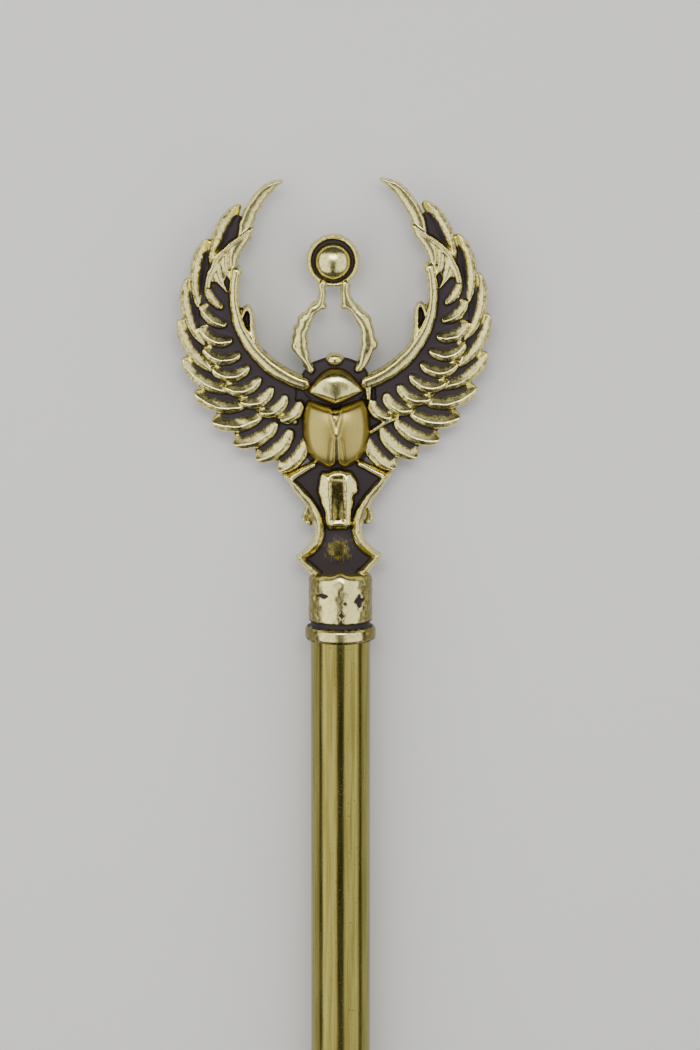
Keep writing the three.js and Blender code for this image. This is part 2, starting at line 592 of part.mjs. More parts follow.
function named(name, geometry, material) {
  const mesh = new THREE.Mesh(geometry, material);
  mesh.name = name;
  return mesh;
}

const sceptre = new THREE.Group();
sceptre.add(
  named("winged_scarab_head", geometryOf(wingedScarab()), antiqueGold),
  named("shaft_tube", shaftTube(), satinBrass),
  named("end_cap", geometryOf(endCap()), antiqueGold),
);
sceptre.position.set(0, -RING_HEIGHT / 2, axisHeight);

export default sceptre;
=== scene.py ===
import math

import bmesh
import bpy
import numpy as np
from mathutils import Matrix, Vector


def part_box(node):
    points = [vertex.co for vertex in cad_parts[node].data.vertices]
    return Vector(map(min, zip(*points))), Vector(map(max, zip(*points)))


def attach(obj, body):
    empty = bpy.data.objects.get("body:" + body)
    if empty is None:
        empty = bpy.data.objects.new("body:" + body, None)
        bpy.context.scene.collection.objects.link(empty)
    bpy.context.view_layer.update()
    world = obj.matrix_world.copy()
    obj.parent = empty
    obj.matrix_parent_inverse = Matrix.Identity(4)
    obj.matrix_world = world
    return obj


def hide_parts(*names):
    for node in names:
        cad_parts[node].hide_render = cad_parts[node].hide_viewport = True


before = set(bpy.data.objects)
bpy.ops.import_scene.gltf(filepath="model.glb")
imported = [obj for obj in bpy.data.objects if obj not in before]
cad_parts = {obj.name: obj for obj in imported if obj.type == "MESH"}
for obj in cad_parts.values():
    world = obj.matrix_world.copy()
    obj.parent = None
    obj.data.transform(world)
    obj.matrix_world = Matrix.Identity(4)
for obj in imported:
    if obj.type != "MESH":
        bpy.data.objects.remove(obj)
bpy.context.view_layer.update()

# The wings
# Two cast wings in low relief, mirror images of each other, of a yellow alloy with a plain back. Each has a
# row of long feathers and, one step higher, a row of short ones. A round bar follows its inner edge.

MM = 0.001
CELL = 0.25  # spacing of the surface's points, in millimetres like every size below
BACK = -2.6  # levels are measured from the shaft's middle plane
GROUND = -0.6  # under the long feathers
STEP = 0.5  # ground of the short feathers
EDGE = -1.2  # where front and back meet round the outline
EDGE_ROUND = 0.9
BACK_RUB = 0.45  # share of the patina that is rubbed off the back

WING_CENTRE_Y = 104.8
WING_RADIUS = 50.9
TIP_NOTCH = 2.4
LONG_FEATHERS = 11
STEP_CENTRE = (11, 107.5)
STEP_RADIUS = 33.7
BAY_CENTRE_Y = 118.5
ARM_RADIUS = 33.6
SHORT_FEATHERS = 9
FIRST_TIP = 17.5  # turns are clockwise from straight up, in degrees
LAST_TIP = 157
FIRST_ROOT = 33
LAST_ROOT = 181
GROUND_TURNS = (39, 163)
STEP_TURNS = (27, 175)
ARM_TURNS = (81, 162)

cap_low, cap_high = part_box("end_cap")
axis_height = cap_high[2] - (cap_high[0] - cap_low[0]) / 2
RING_HEIGHT = 5
FIGURE_LEAN = math.radians(1.1)  # the casting leans this much to its right on the tube


def at(centre, radius, degrees):
    """The point at an angle clockwise from straight up, on a circle."""
    turn = math.radians(degrees)
    return centre[0] + radius * math.sin(turn), centre[1] + radius * math.cos(turn)


def soft_step(low, high, value):
    """Rises smoothly from 0 at low to 1 at high."""
    share = np.clip((value - low) / (high - low), 0, 1)
    return share * share * (3 - 2 * share)


def round_off(share):
    """A quarter circle: 0 at share 0, steep at first, level and 1 at share 1."""
    return np.sqrt(np.clip(1 - (1 - np.clip(share, 0, 1)) ** 2, 0, 1))


def lumps(x, y, size, seed):
    """Smooth unevenness, mostly between -1 and 1: the sum of twelve waves of about that length, which run
    in different directions."""
    dice = np.random.default_rng(seed)
    total = np.zeros(x.shape)
    for _ in range(12):
        turn, phase = dice.uniform(0, 2 * math.pi, 2)
        pace = 2 * math.pi / (size * dice.uniform(0.7, 1.6))
        total += np.sin((x * math.cos(turn) + y * math.sin(turn)) * pace + phase)
    return total / 3.5


class Relief:
    """A cast relief on a square grid. For every point it keeps the level of the front, how far the patina is
    rubbed off together with painted shade on slopes, how polished it is together with painted shade in the
    beetle's warm gold, and how far inside the outline it lies. Each feature that is laid on wins where it
    stands higher than what is there. A folded relief is the same on both sides of the middle."""

    def __init__(self, low, high, seed, folded=False):
        across = np.arange(low[0], high[0] + CELL, CELL)
        along = np.arange(low[1], high[1] + CELL, CELL)
        self.place_x, self.y = np.meshgrid(across, along, indexing="ij")
        self.x = np.abs(self.place_x) if folded else self.place_x
        self.uneven = lumps(self.place_x, self.y, 4.5, seed)
        self.level = np.full(self.x.shape, EDGE)
        self.rub = np.zeros(self.x.shape)
        self.polish = np.zeros(self.x.shape)
        self.inside = np.full(self.x.shape, -9.0)

    def lay(self, inside, level, rub=1.0, polish=0.0):
        wins = (inside > 0) & (level > self.level)
        self.level = np.where(wins, level, self.level)
        self.rub = np.where(wins, rub, self.rub)
        self.polish = np.where(wins, polish, self.polish)
        self.inside = np.maximum(self.inside, inside)


def beside_arc(x, y, start, end, bow):
    """Share along the arc from start to end, distance to its right, and the arc's length. The arc bulges to
    the right by bow times its chord. Its radius is chord (1 + 4 bow bow) / (8 bow)."""
    start, end = np.array(start), np.array(end)
    chord = end - start
    length = math.hypot(*chord)
    right = np.array([chord[1], -chord[0]]) / length
    radius = length * (1 + 4 * bow * bow) / (8 * bow)
    centre = (start + end) / 2 + right * (bow * length - radius)
    half_turn = math.asin(length / (2 * radius))
    out_x, out_y = x - centre[0], y - centre[1]
    forward = (out_x * chord[0] + out_y * chord[1]) / length
    sideways = out_x * right[0] + out_y * right[1]
    turn = np.arctan2(forward, sideways)
    return (turn / half_turn + 1) / 2, np.hypot(out_x, out_y) - radius, 2 * half_turn * radius


def beside_path(x, y, path):
    """Share along a path of straight steps, and signed distance to its right, from the nearest step."""
    path = np.array(path, float)
    steps = np.diff(path, axis=0)
    lengths = np.hypot(steps[:, 0], steps[:, 1])
    starts = np.concatenate([[0], np.cumsum(lengths)])
    best = np.full(x.shape, 1e9)
    share = np.zeros(x.shape)
    signed = np.zeros(x.shape)
    for k, (step, length) in enumerate(zip(steps, lengths)):
        ahead = ((x - path[k, 0]) * step[0] + (y - path[k, 1]) * step[1]) / length
        on = np.clip(ahead, 0, length)
        off_x = x - path[k, 0] - step[0] / length * on
        off_y = y - path[k, 1] - step[1] / length * on
        away = np.hypot(off_x, off_y)
        nearer = away < best
        side = np.where(off_x * step[1] - off_y * step[0] >= 0, 1, -1)
        best = np.where(nearer, away, best)
        share = np.where(nearer, (starts[k] + on) / starts[-1], share)
        signed = np.where(nearer, away * side, signed)
    return share, signed


def curve_through(points, steps=8):
    """A smooth path through the points: each span is a cubic that leaves a point along the line between
    that point's neighbours."""
    p = np.array([points[0], *points, points[-1]], float)
    t = np.linspace(0, 1, steps, endpoint=False)[:, None]
    spans = []
    for a, b, c, d in zip(p[:-3], p[1:-2], p[2:-1], p[3:]):
        cubic = 2 * b + (c - a) * t + (2 * a - 5 * b + 4 * c - d) * t**2 + (3 * b - a - 3 * c + d) * t**3
        spans.append(cubic / 2)
    return np.concatenate([*spans, p[-1:]])


def lay_feather(relief, root, tip, width, bow, ground, rise, bare):
    """A blade that narrows to its root and comes to a blunt tip: its half width is a power of the share
    along it times a power of the share left. Its long slope on the left rises to a crest, beyond which it
    drops steeply to the right, with a fine groove along the top of the drop. The patina is rubbed off the
    slope from bare on, a share of the half width, and off the whole tip. The steep drop is a little darker,
    as painted shade."""
    share, across, length = beside_arc(relief.x, relief.y, root, tip, bow)
    across = across + 0.10 * relief.uneven
    t = np.clip(share, 0, 1)
    half = 0.90 * width * (t + 0.02) ** 0.42 * (1 - t) ** 0.4 + 0.05
    beyond = np.maximum(np.abs(share - 0.5) - 0.5, 0) * length
    inside = np.where(beyond > 0, -np.hypot(across, beyond), half - np.abs(across))
    u = np.clip(across / half, -1, 1)
    crest = 0.4  # where the crest runs, as a share of the half width
    drop = np.sqrt(np.clip(1 - ((u - crest) / (1 - crest)) ** 2, 0, 1))
    slope = ((u + 1) / (1 + crest)) ** 1.1
    swell = 0.6 + 0.4 * np.sin(math.pi * (0.1 + 0.75 * t))
    groove = np.exp(-(((u - 0.55) * half / 0.22) ** 2)) * soft_step(0.05, 0.2, t) * soft_step(0.95, 0.8, t)
    bare_from = bare - 1.0 * soft_step(0.78, 0.93, t)
    # painted shade: the steep drop on the right is a little darker
    rub = soft_step(bare_from - 0.3, bare_from + 0.4, u) * (1 - 0.1 * soft_step(0.55, 0.8, u))
    level = ground + rise * np.where(u > crest, drop, slope) * swell - 0.2 * groove
    relief.lay(inside, level, np.clip(rub - 0.5 * groove, 0, 1))


def lay_bar(relief, path, widths, edge, crest, rub=1.0, lean=(0, 0), ridged=False, rough=0.08):
    """A bar along a path, rounded or with two flat slopes to a ridge. Its widths, and how far its crest leans
    to the right as a share of the half width, are lists of values from one end to the other. Its flanks are
    a little darker than its crest, as painted shade."""
    share, across = beside_path(relief.x, relief.y, path)
    across = across + rough * relief.uneven
    half = np.interp(share, np.linspace(0, 1, len(widths)), widths) / 2
    top = np.interp(share, np.linspace(0, 1, len(lean)), lean)
    u = np.clip(across / half, -1, 1)
    reach = np.where(u > top, (u - top) / (1 - top), (top - u) / (1 + top))
    fall = 1 - reach**1.3 if ridged else np.sqrt(np.clip(1 - reach**2.2, 0, 1))
    # painted shade: the bar's flanks are a little darker than its crest
    rub = rub * (1 - 0.12 * soft_step(0.5, 0.9, reach))
    relief.lay(half - np.abs(across), edge + (crest - edge) * fall, rub)


def lay_dome(relief, centre, half_width, half_length, edge, crest, rub=1.0, polish=0.0):
    """An oval dome: its level falls from the crest as the root of one minus the squared share of the way
    out."""
    out = np.hypot((relief.x - centre[0]) / half_width, (relief.y - centre[1]) / half_length)
    level = edge + (crest - edge) * np.sqrt(np.clip(1 - out**2, 0, 1))
    relief.lay((1 - out) * min(half_width, half_length), level, rub, polish)


def averaged(values, weight, times):
    """Each value becomes the weighted mean of itself and its eight neighbours, a number of times over."""
    for _ in range(times):
        total = np.zeros(values.shape)
        weights = np.zeros(values.shape)
        for i in (-1, 0, 1):
            for j in (-1, 0, 1):
                share = np.roll(weight, (i, j), (0, 1)) / (1 + abs(i) + abs(j))
                total += np.roll(values, (i, j), (0, 1)) * share
                weights += share
        values = np.where(weights > 0, total / np.maximum(weights, 1e-9), values)
    return values


def in_place(points):
    """From the casting's own millimetres to the frame: leaned about the collar, lifted to the shaft's axis
    and shifted so that the ring's middle is over the origin."""
    x = points[:, 0] * math.cos(FIGURE_LEAN) - points[:, 1] * math.sin(FIGURE_LEAN)
    y = points[:, 0] * math.sin(FIGURE_LEAN) + points[:, 1] * math.cos(FIGURE_LEAN)
    return np.stack([x * MM, (y - RING_HEIGHT / 2) * MM, points[:, 2] * MM + axis_height], 1)


def keep_values(mesh, **values):
    """Stores named values for every point of a mesh, which its material reads."""
    for label, numbers in values.items():
        layer = mesh.attributes.new(label, "FLOAT", "POINT")
        layer.data.foreach_set("value", np.ravel(numbers))


def add_object(name, content):
    """Puts a mesh, a light or a camera into the scene."""
    added = bpy.data.objects.new(name, content)
    bpy.context.scene.collection.objects.link(added)
    return added


def relief_object(name, relief, mirror=False):
    """The closed skin of a relief. Grid cells that touch the inside are kept, their outer points move on to
    the outline along the slope of the distance, and the front and a flatter back are joined round the rim."""
    inside = relief.inside + 0.04 * relief.uneven
    within = inside > 0
    kept = within[:-1, :-1] | within[1:, :-1] | within[:-1, 1:] | within[1:, 1:]
    kept[0] = kept[-1] = kept[:, 0] = kept[:, -1] = False
    for _ in range(2):
        crossed = kept[:-1, :-1] & kept[1:, 1:] & ~kept[1:, :-1] & ~kept[:-1, 1:]
        kept[1:, :-1] |= crossed
        crossed = kept[1:, :-1] & kept[:-1, 1:] & ~kept[:-1, :-1] & ~kept[1:, 1:]
        kept[:-1, :-1] |= crossed
    weight = within.astype(float)
    level = averaged(relief.level, weight, 1)
    rub = averaged(relief.rub, weight, 1)
    slope_x, slope_y = np.gradient(inside, CELL)
    steepness = np.maximum(slope_x**2 + slope_y**2, 0.35)
    pull = np.where(within, 0, inside / steepness)
    move_x = np.clip(-pull * slope_x, -1.2 * CELL, 1.2 * CELL)
    move_y = np.clip(-pull * slope_y, -1.2 * CELL, 1.2 * CELL)
    rise = round_off(inside / EDGE_ROUND)
    front = EDGE + 0.15 + (np.maximum(level, EDGE + 0.2) - EDGE - 0.15) * rise
    echo = averaged(relief.level, weight, 6) - level
    back = EDGE - 0.15 + (BACK + 0.35 * np.clip(echo, -0.6, 0.6) + 0.15 - EDGE) * rise
    used = np.zeros(within.shape, bool)
    for i in (0, 1):
        for j in (0, 1):
            used[i : i + kept.shape[0], j : j + kept.shape[1]] |= kept
    index = np.cumsum(used).reshape(used.shape) - 1
    count = int(used.sum())
    side = -1 if mirror else 1
    x, y = side * (relief.place_x + move_x)[used], (relief.y + move_y)[used]
    points = np.concatenate([np.stack([x, y, front[used]], 1), np.stack([x, y, back[used]], 1)])
    a, b = index[:-1, :-1][kept], index[1:, :-1][kept]
    c, d = index[1:, 1:][kept], index[:-1, 1:][kept]
    faces = [np.stack([a, b, c, d], 1), np.stack([d, c, b, a], 1) + count]
    gone = ~np.pad(kept, 1)
    rims = [
        (gone[1:-1, :-2], index[:-1, :-1], index[1:, :-1]),
        (gone[2:, 1:-1], index[1:, :-1], index[1:, 1:]),
        (gone[1:-1, 2:], index[1:, 1:], index[:-1, 1:]),
        (gone[:-2, 1:-1], index[:-1, 1:], index[:-1, :-1]),
    ]
    for open_side, first, second in rims:
        edge = kept & open_side
        p, q = first[edge], second[edge]
        faces.append(np.stack([p, p + count, q + count, q], 1))
    faces = np.concatenate(faces)
    if mirror:
        faces = faces[:, ::-1]
    mesh = bpy.data.meshes.new(name)
    mesh.from_pydata(in_place(points), [], faces.tolist())
    keep_values(
        mesh, rub=np.concatenate([rub[used], np.full(count, BACK_RUB)]),
        polish=np.concatenate([relief.polish[used], np.zeros(count)]))
    mesh.shade_smooth()
    return add_object(name, mesh)


def wing_relief(right):
    """One wing, drawn as the right one. Its grounds are ring sectors between circles, and its feathers run
    between points on them. The tips of the long feathers crowd together down the wing, and so do their
    roots. The right wing has two rough bits by the beetle that the left one lacks."""
    wing = Relief((6, 54), (53, 157), 4 if right else 9)
    bay = (0, BAY_CENTRE_Y)
    centre = (0, WING_CENTRE_Y)
    from_bay = np.hypot(wing.x, wing.y - BAY_CENTRE_Y)
    from_centre = np.hypot(wing.x, wing.y - WING_CENTRE_Y)
    wing_turn = np.degrees(np.arctan2(wing.x, wing.y - WING_CENTRE_Y))
    from_step = np.hypot(wing.x - STEP_CENTRE[0], wing.y - STEP_CENTRE[1])
    step_turn = np.degrees(np.arctan2(wing.x - STEP_CENTRE[0], wing.y - STEP_CENTRE[1])) % 360

    ground = np.minimum(WING_RADIUS - TIP_NOTCH - from_centre, from_bay - ARM_RADIUS + 1)
    ground = np.minimum(ground, (wing_turn - GROUND_TURNS[0]) * 0.8)
    ground = np.minimum(ground, (GROUND_TURNS[1] - wing_turn) * 0.8)
    wing.lay(ground, np.full(wing.x.shape, GROUND), 0.0)
    raised = np.minimum(STEP_RADIUS - from_step, from_bay - ARM_RADIUS + 1)
    raised = np.minimum(raised, (step_turn - STEP_TURNS[0]) * 0.6)
    raised = np.minimum(raised, (STEP_TURNS[1] - step_turn) * 0.6)
    ledge = soft_step(1.5, 0.4, STEP_RADIUS - from_step) * soft_step(95, 120, step_turn)
    wing.lay(raised, STEP + 0.25 * ledge, 0.58 * ledge)

    horn = curve_through([
        (29.0, 135.6), (28.2, 140.2), (26.4, 144.2), (22.8, 149.3), (19.2, 152.2), (16.4, 153.5)])
    lay_bar(wing, horn, (4.8, 4.6, 4.6, 4.4, 3.6, 1.3), 0.2, 1.9, lean=(0.5, 0.5))
    for i in range(1, LONG_FEATHERS):
        share = i / (LONG_FEATHERS - 1)
        tip_turn = FIRST_TIP + (LAST_TIP - FIRST_TIP) * share * (4.1 - 1.1 * share) / 3
        root_turn = FIRST_ROOT + (LAST_ROOT - FIRST_ROOT) * (0.52 * share + 0.48 * (1 - (1 - share) ** 3))
        root = at(STEP_CENTRE, STEP_RADIUS - 1.2 + 6.5 * share**5, root_turn)
        width = 4.8 + 2.0 * soft_step(2, 8, i)
        lay_feather(wing, root, at(centre, WING_RADIUS, tip_turn), width, 0.12, GROUND, 2.2, -0.36)

    for i in range(SHORT_FEATHERS):
        share = i / (SHORT_FEATHERS - 1)
        root = at(bay, 37 + 2.6 * share, 99.5 + (162 - 99.5) * share**0.95)
        tip = at(STEP_CENTRE, STEP_RADIUS - 0.6, 67 + (166.5 - 67) * share)
        width = 4.0 + 1.4 * soft_step(-0.5, 2.5, i)
        lay_feather(wing, root, tip, width, 0.12 + 0.09 * soft_step(0, 3, i), STEP, 1.9, -0.42)

    leaf = curve_through([(26.2, 138.2), (30.0, 133.9), (32.2, 130.2), (32.9, 126.5), (32.3, 122.4)])
    lay_bar(wing, leaf, (1.2, 3.8, 4.0, 3.0, 1.2), STEP + 0.5, 2.4, lean=(-0.4, -0.4))
    long_blade = curve_through([(35.2, 131.2), (35.7, 127.5), (35.0, 124.2), (33.8, 121.2)])
    lay_bar(wing, long_blade, (2.2, 2.4, 2.0, 0.5), STEP + 0.2, 2.0)
    low_blade = curve_through([(38.0, 128.6), (38.5, 125.0), (37.4, 121.2), (35.0, 117.4)])
    lay_bar(wing, low_blade, (2.2, 3.2, 2.6, 0.6), STEP + 0.1, 2.0)
    leaf_ridge = curve_through([
        (26.2, 138.4), (30.3, 135.0), (32.8, 133.3), (35.7, 130.8), (38.2, 128.2), (39.5, 125.3),
        (40.8, 122.4), (41.4, 119.6)])
    beside_ridge = beside_path(wing.x, wing.y, leaf_ridge)[1]
    leaf_root = np.minimum(np.minimum(beside_ridge, 5.2 - beside_ridge), (wing.y - 120.5) * 0.7)
    leaf_root = np.minimum(leaf_root, np.minimum(from_bay - ARM_RADIUS + 1.2, 135 - wing.y))
    wing.lay(leaf_root, np.full(wing.x.shape, STEP + 0.9), 0.72)
    lay_bar(wing, leaf_ridge, (1.2, 2.0, 2.2, 2.2, 2.4, 2.4), STEP + 0.6, 2.6, lean=(-0.3, -0.3))

    arm_turns = np.linspace(*ARM_TURNS, 40)
    arm = [at(bay, ARM_RADIUS - 1.2 * max(112 - turn, 0) / 31, turn) for turn in arm_turns]
    lay_bar(wing, arm, (3.6, 3.6, 4.4, 5.0, 5.2, 5.0), 0.6, 3.1, lean=(0.1, 0.25, 0.25))
    lay_dome(wing, (31.8, 124.0), 2.2, 2.3, 0.9, 3.4)
    loop = curve_through([
        (30.6, 104.3), (30.1, 109.6), (28.6, 112.2), (27.3, 110.2), (27.1, 106), (26.5, 101), (24.4, 96)])
    lay_bar(wing, loop, (1.4, 2.6), 0.2, 2.4)
    hollow = np.minimum(30.5 - wing.x, wing.x - 26.9)
    hollow = np.minimum(hollow, np.minimum(wing.y - 101, 112 - wing.y))
    wing.lay(hollow, np.full(wing.x.shape, -0.8), 0.0)
    if right:
        lay_bar(wing, [(11.0, 87.0), (10.9, 81.3)], (2.2, 2.6, 1.8), 0.6, 2.4, rub=0.9)
        lay_bar(wing, [(20.5, 74.5), (15.0, 72.4), (11.4, 69.9)], (1.4, 1.8, 2.0), 0.2, 1.8, rub=0.9)
    else:
        lay_dome(wing, (13.6, 73.7), 1.0, 1.0, 0, 1.5, 0.8)
    lay_dome(wing, (10.3, 62.4), 1.0, 0.9, 0, 1.4, 0.7)
    return wing


class Socket:
    """An output of a material's node, which Python's operators join by Math nodes."""

    def __init__(self, tree, output):
        self.tree = tree
        self.output = output

    def node(self, kind, settings=None, stops=None, pick=0, **inputs):
        """A new node of that kind. Its settings are set first, then a ramp's stops and its sockets."""
        made = self.tree.nodes.new(kind)
        for label, value in (settings or {}).items():
            setattr(made, label, value)
        for k, (place, colour) in enumerate(stops or []):
            stop = made.color_ramp.elements[k] if k < 2 else made.color_ramp.elements.new(place)
            stop.position = place
            stop.color = colour
        for label, value in inputs.items():
            numbered = label[0] == "i" and label[1:].isdigit()
            target = made.inputs[int(label[1:]) if numbered else label]
            if isinstance(value, Socket):
                self.tree.links.new(value.output, target)
            else:
                target.default_value = value
        return Socket(self.tree, made.outputs[pick])

    def maths(self, operation, first, second):
        return self.node("ShaderNodeMath", {"operation": operation}, i0=first, i1=second)

    def __add__(self, other):
        return self.maths("ADD", self, other)

    def __sub__(self, other):
        return self.maths("SUBTRACT", self, other)

    def __rsub__(self, other):
        return self.maths("SUBTRACT", other, self)

    def __mul__(self, other):
        return self.maths("MULTIPLY", self, other)

    __radd__ = __add__
    __rmul__ = __mul__

    def stepped(self, low, high):
        """Rises smoothly from 0 at low to 1 at high."""
        settings = {"interpolation_type": "SMOOTHSTEP"}
        return self.node("ShaderNodeMapRange", settings, Value=self, i1=low, i2=high, i3=0.0, i4=1.0)

    def mixed(self, first, second):
        """A colour from the first to the second, by this share."""
        return self.node("ShaderNodeMix", {"data_type": "RGBA"}, pick=2, i0=self, i6=first, i7=second)


def start_material(name):
    """An empty material with a Principled shader, and the piece's own coordinates in millimetres."""
    material = bpy.data.materials.new(name)
    material.use_nodes = True
    tree = material.node_tree
    shader = tree.nodes["Principled BSDF"]
    place = tree.nodes.new("ShaderNodeTexCoord").outputs["Object"]
    start = Socket(tree, place)
    millimetres = start.node("ShaderNodeVectorMath", {"operation": "SCALE"}, i0=start, Scale=1 / MM)
    return material, shader, millimetres


def grain(place, scale, detail=3.0, roughness=0.55, stretch=(1, 1, 1)):
    """Noise of about that many grains a millimetre, squeezed along the axes by stretch."""
    squeezed = place.node("ShaderNodeVectorMath", {"operation": "MULTIPLY"}, i0=place, i1=stretch)
    return place.node(
        "ShaderNodeTexNoise", Vector=squeezed, Scale=scale, Detail=detail, Roughness=roughness)


def link(value, shader, label):
    value.tree.links.new(value.output, shader.inputs[label])


PATINA = (0.018, 0.009, 0.012, 1)
# darker olive gold: random tone, and painted shade on slopes, flanks and undersides
OLD_GOLD_AND_SHADE = (0.18, 0.145, 0.035, 1)
PALE_GOLD = (0.86, 0.77, 0.32, 1)
# darker warm gold of the polished beetle, darkened partly as painted shade
WARM_GOLD_AND_SHADE = (0.33, 0.245, 0.045, 1)


def antique_gold():
    """Pale gold with dark purple-brown patina. The patina stays where the rub value is low, and hair-like
    strokes along the figure make the border ragged. Small pits keep their patina everywhere. Where the rub
    value is a little lower the gold turns to a darker old gold, partly random tone and partly painted shade
    on slopes and flanks; polished parts turn to a darker warm gold, partly painted shade."""
    material, shader, place = start_material("antique gold")
    rub = place.node("ShaderNodeAttribute", {"attribute_name": "rub"}, pick=2)
    polish = place.node("ShaderNodeAttribute", {"attribute_name": "polish"}, pick=2)
    smooth = polish.stepped(0.05, 0.4)
    strokes = grain(place, 2.4, 2.0, 0.6, (1, 0.22, 0.4))
    mottle = grain(place, 0.9, 4.0, 0.6)
    pits = grain(place, 2.2, 2.0, 0.5)
    worn = (rub + (strokes - 0.5) * 1.3 * (1 - smooth) + (mottle - 0.5) * 0.2).stepped(0.30, 0.44)
    pitted = pits.stepped(0.655, 0.70) * (1 - smooth)
    bare = worn * (1 - pitted)
    uneven = (mottle - 0.5) * (1.3 - smooth * 0.7) + (strokes - 0.5) * 0.5
    # towards old gold where the rub value is lower, which carries the painted shade of slopes and flanks
    tone = (rub + uneven).stepped(0.52, 1.04)
    gold = tone.mixed(OLD_GOLD_AND_SHADE, PALE_GOLD)
    # polished parts turn to the darker warm gold, partly painted shade
    warm_and_shade = (polish.stepped(0.35, 1.0) * 0.95).mixed(gold, WARM_GOLD_AND_SHADE)
    link(bare.mixed(PATINA, warm_and_shade), shader, "Base Color")
    link(bare * 0.9 + 0.1, shader, "Metallic")
    satin = polish.stepped(0.35, 0.6)
    link(0.60 - bare * 0.38 + satin * 0.15 + (mottle - 0.5) * 0.10, shader, "Roughness")
    dents = grain(place, 1.3, 3.0, 0.6) * 0.6 + pits * 0.4
    bump = place.node("ShaderNodeBump", Strength=0.3, Distance=0.12 * MM, Height=dents * (1 - smooth * 0.85))
    link(bump, shader, "Normal")
    return material


gold_finish = antique_gold()
for name, right in (("wing_right", True), ("wing_left", False)):
    wing = relief_object(name, wing_relief(right), mirror=not right)
    wing.data.materials.append(gold_finish)
    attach(wing, "root")
    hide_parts("winged_scarab_head")

# The scarab with its sun disc and neck
# The middle of the same casting: the beetle's wing cases, shield and head, the forelegs that raise a dished
# disc, and a waisted neck with ridged edges that holds the tail. The beetle is polished, the rest antiqued.

WING_CASE_LOW = 58.0
WING_CASE_HIGH = 81.0
WING_CASE_HALF = 11.2
WING_CASE_CREST = 6.6
SHIELD_HALF = 9.1
DISC_Y = 127.0
DISC_RADIUS = 8.9
DISC_RIM = 1.9
NECK_FOOT_Y = 22.0


def line_glow(distance, width):
    """1 on a line, falling off as a bell curve of that half width."""
    return np.exp(-((distance / width) ** 2))


def lay_plate(body):
    """The oval behind the beetle and the low shoulders on it."""
    oval = np.hypot(body.x / 15.0, (body.y - 76) / 19.3)
    body.lay((1 - oval) * 15.0, np.full(body.x.shape, GROUND + 0.05), 0.0)
    shoulders = np.hypot(body.x / 11.5, (body.y - 87) / 8.2)
    body.lay((1 - shoulders) * 8.2, 0.2 + 0.9 * np.sqrt(np.clip(1 - shoulders**2, 0, 1)), 0.0)


def lay_wing_cases(body):
    """Both wing cases as one dome: the root of one minus a power of the share of the way out, across and
    lengthways. A V of two fine ridges, a seam that widens downwards and a fold beside it are drawn on it.
    Their gold is a darker warm gold, more so towards the edges, as painted shade."""
    x, y = body.x, body.y
    up = (y - WING_CASE_LOW) / (WING_CASE_HIGH - WING_CASE_LOW)
    low_part = np.clip(1 - up / 0.62, 0, 1)
    high_part = np.clip((up - 0.62) / 0.38, 0, 1)
    half = WING_CASE_HALF * (1 - low_part**2.5) ** 0.5 * (1 - 0.17 * high_part**2)
    top = WING_CASE_HIGH - 2.6 * np.clip(1 - x / 8.4, 0, 1) - 3.0 * np.clip((x - 8.4) / 2.6, 0, 1) ** 2
    notch = WING_CASE_LOW + 2.2 * np.clip(1 - x / 3.0, 0, 1) ** 1.5
    inside = np.minimum(np.minimum(half - x, top - y), y - notch)
    across = np.clip(1 - (x / np.maximum(half, 0.1)) ** 2, 0, 1)
    lengthways = np.clip(1 - np.abs(2 * up - 1) ** 2.8, 0, 1)
    level = 1.2 + (WING_CASE_CREST - 1.2) * np.sqrt(across * lengthways) * round_off(inside / 2.5)

    notch_half = 2.1 * np.clip((y - 69.6) / 9.6, 0, 1)
    in_notch = soft_step(0.15, -0.15, x - notch_half) * (y > 69.7)
    ridge = line_glow(x - notch_half - 0.15, 0.38) * soft_step(69.2, 70.2, y)
    beside = line_glow(x - notch_half - 1.0, 0.35) * soft_step(68.5, 70, y) * soft_step(76, 73, y)
    seam = line_glow(x, 0.28 + 0.4 * np.clip((69 - y) / 11, 0, 1)) * soft_step(70.2, 68.8, y)
    fold = line_glow(x - 1.5 - 0.12 * (69 - y), 0.42) * soft_step(69.5, 67, y) * soft_step(58.8, 60.5, y)
    level = level - 0.35 * in_notch + 0.5 * ridge - 0.3 * beside - 0.9 * seam - 0.25 * fold
    rub = 1 - 0.4 * in_notch * soft_step(0.5, 0.1, ridge) - 0.75 * seam - 0.2 * fold - 0.35 * beside
    # painted shade: darker warm gold, more of it towards the edges
    warm_and_shade = 0.82 + 0.16 * soft_step(2.8, 0.3, inside)
    body.lay(inside, level, np.clip(rub, 0, 1), np.clip(warm_and_shade - seam - in_notch, 0, 1))


def lay_shield(body):
    """An arch over a shallow V, domed both ways by the root of one minus the squared share of the way out,
    with a rim of darker warm gold round the arch, partly painted shade."""
    x, y = body.x, body.y
    reach = np.clip(x / SHIELD_HALF, 0, 1)
    arch = 91.5 - 7.4 * reach**2.1
    foot = 79.3 + 4.4 * reach**1.1
    inside = np.minimum(np.minimum(arch - y, y - foot), SHIELD_HALF - x)
    middle = foot + 0.5 * (arch - foot)
    out = np.clip((y - middle) / np.maximum(arch - middle, 0.1), -1, 1)
    dome = np.sqrt((1 - np.abs(out) ** 2.5) * (1 - reach**2.2)) + 0.01 * body.uneven
    rim = line_glow(arch - y - 1.4, 0.35) * soft_step(3.0, 4.6, arch - foot)
    # partly painted shade: darker warm gold along the arch's edge
    warm_and_shade = 0.2 + 0.8 * soft_step(1.8, 1.1, arch - y)
    body.lay(inside, 1.7 + 3.5 * dome - 0.3 * rim, 1 - 0.45 * rim, np.clip(warm_and_shade, 0, 1))


